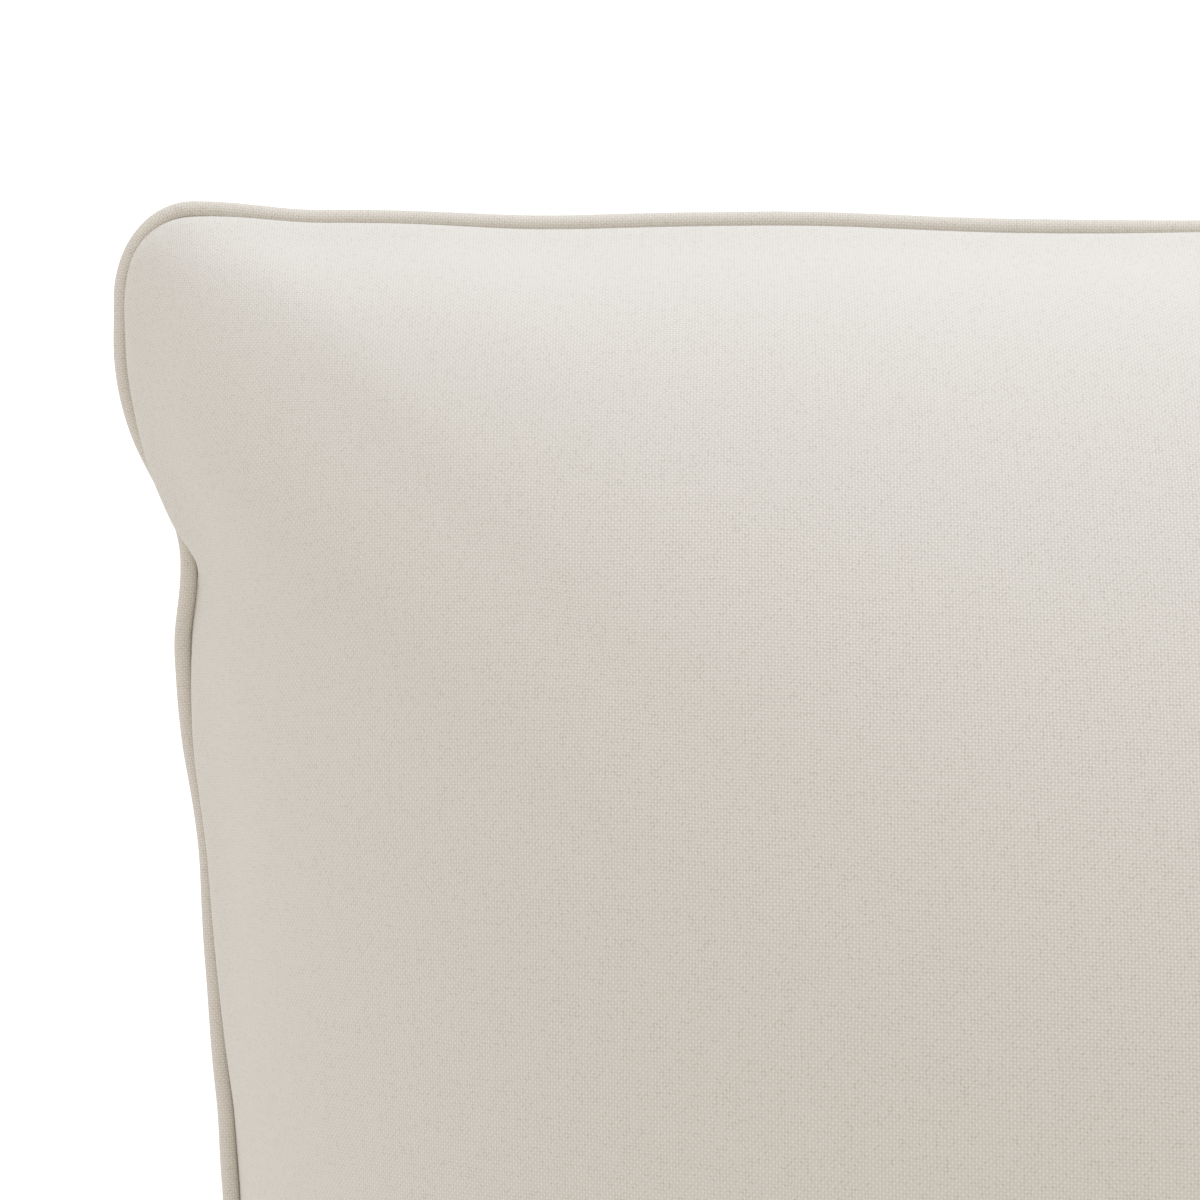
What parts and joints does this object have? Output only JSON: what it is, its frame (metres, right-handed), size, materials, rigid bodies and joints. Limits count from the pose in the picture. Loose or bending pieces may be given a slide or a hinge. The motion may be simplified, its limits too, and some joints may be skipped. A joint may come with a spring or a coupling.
{
  "type": "back cushion",
  "caption": "Full knife-edge back cushion in off-white plain weave, with piping sewn into its seam, drawn-in sides and ears at its corners.",
  "frame": {"origin": "middle of the footprint, on the surface that the back lies on", "axes": "+X along the width, towards the right of the front face; +Y along the height, towards the top edge; +Z out of the front face"},
  "size_m": [0.609, 0.56, 0.265],
  "materials": {
    "panel_cloth": "matte plain weave, off-white",
    "piping_cloth": "matte plain weave, off-white"
  },
  "bodies": {
    "root": {"cushion": "panel_cloth", "piping": "piping_cloth"}
  },
  "joints": []
}
